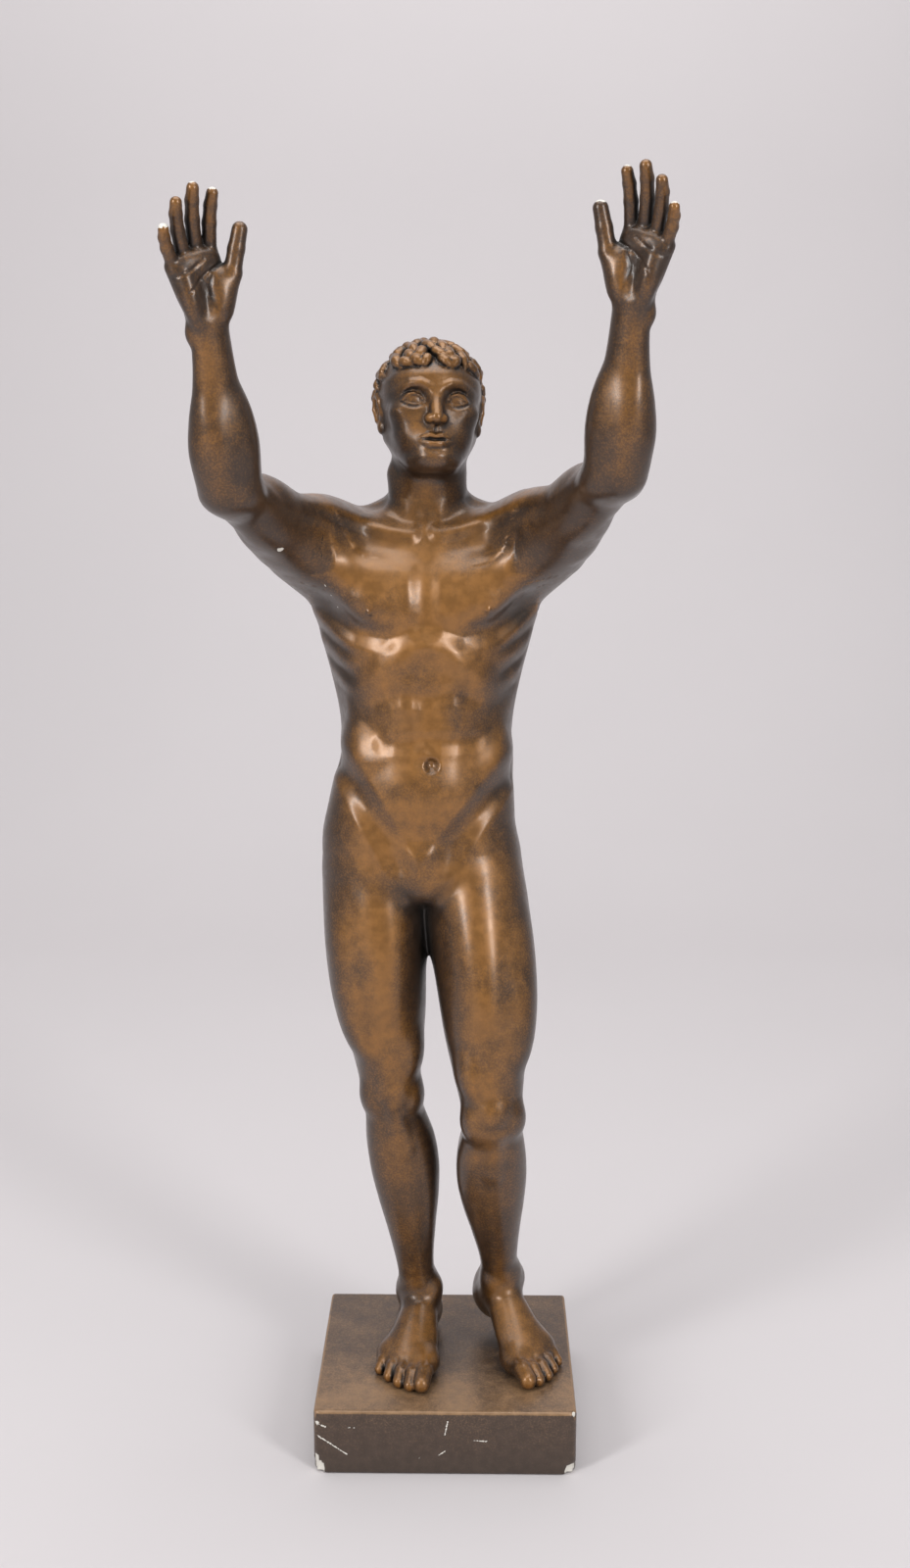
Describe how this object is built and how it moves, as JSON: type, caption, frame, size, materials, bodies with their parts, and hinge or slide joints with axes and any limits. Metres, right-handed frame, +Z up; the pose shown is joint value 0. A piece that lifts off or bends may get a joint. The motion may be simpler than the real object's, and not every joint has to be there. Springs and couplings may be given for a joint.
{
  "type": "statuette",
  "caption": "Standing nude man with both arms raised and hands open, weight on his right leg, left heel lifted, on a nearly square plinth; cast plaster painted as bronze.",
  "frame": {"origin": "centre of the plinth's underside", "axes": "+Z up; the figure faces -Y; its own left side is towards +X"},
  "size_m": [0.3208, 0.2865, 0.9442],
  "materials": {
    "figure": "semi-gloss bronze-coloured paint over cast plaster, rubbed golden on the raised forms",
    "plinth": "satin brown bronze-coloured paint over cast plaster, chipped white at the edges"
  },
  "bodies": {
    "root": {"figure": "figure", "plinth": "plinth"}
  },
  "joints": []
}
